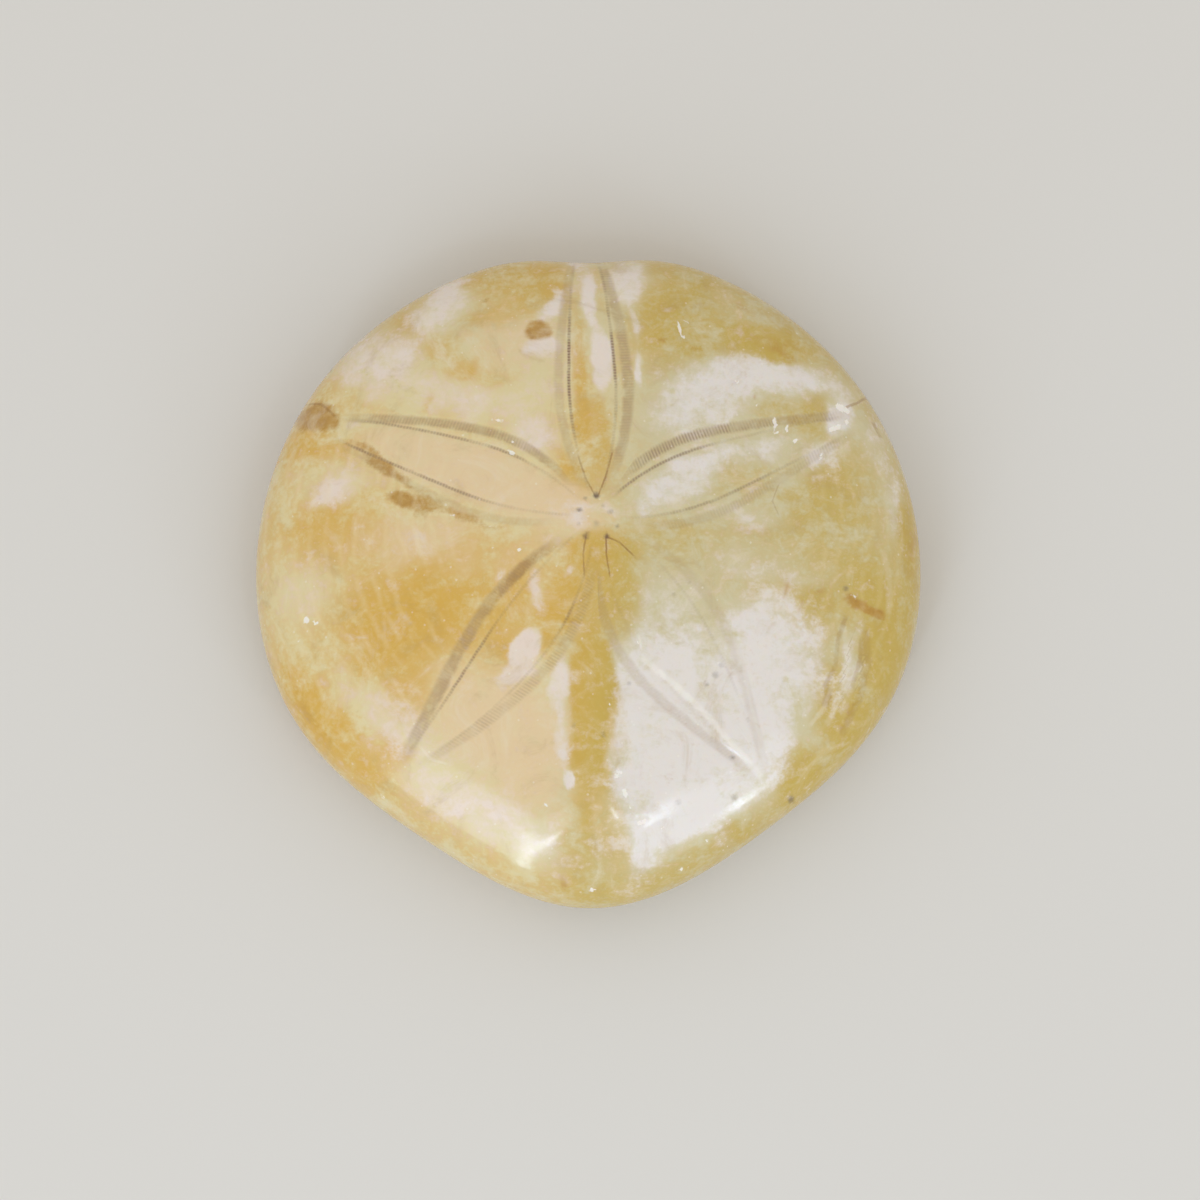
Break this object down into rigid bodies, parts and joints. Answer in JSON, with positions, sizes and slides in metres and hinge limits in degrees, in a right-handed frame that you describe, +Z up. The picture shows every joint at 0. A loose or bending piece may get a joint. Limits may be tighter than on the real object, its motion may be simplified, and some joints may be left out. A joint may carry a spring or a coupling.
{
  "type": "polished fossil sand dollar",
  "caption": "Low domed disc of honey-coloured calcite: a polished fossil sand dollar with a five-petalled top, a rounded rim and a flat underside to rest on.",
  "frame": {"origin": "on the resting plane of the underside, below the middle of the outline", "axes": "+Z up through the domed upper side, +Y towards the front of the animal, which is the flattened edge of the outline, +X towards its right-hand side as seen from above"},
  "size_m": [0.091, 0.0898, 0.023],
  "materials": {
    "polished_calcite": "polished, honey and cream mottled, slightly translucent"
  },
  "bodies": {
    "root": {"fossil_test": "polished_calcite"}
  },
  "joints": []
}
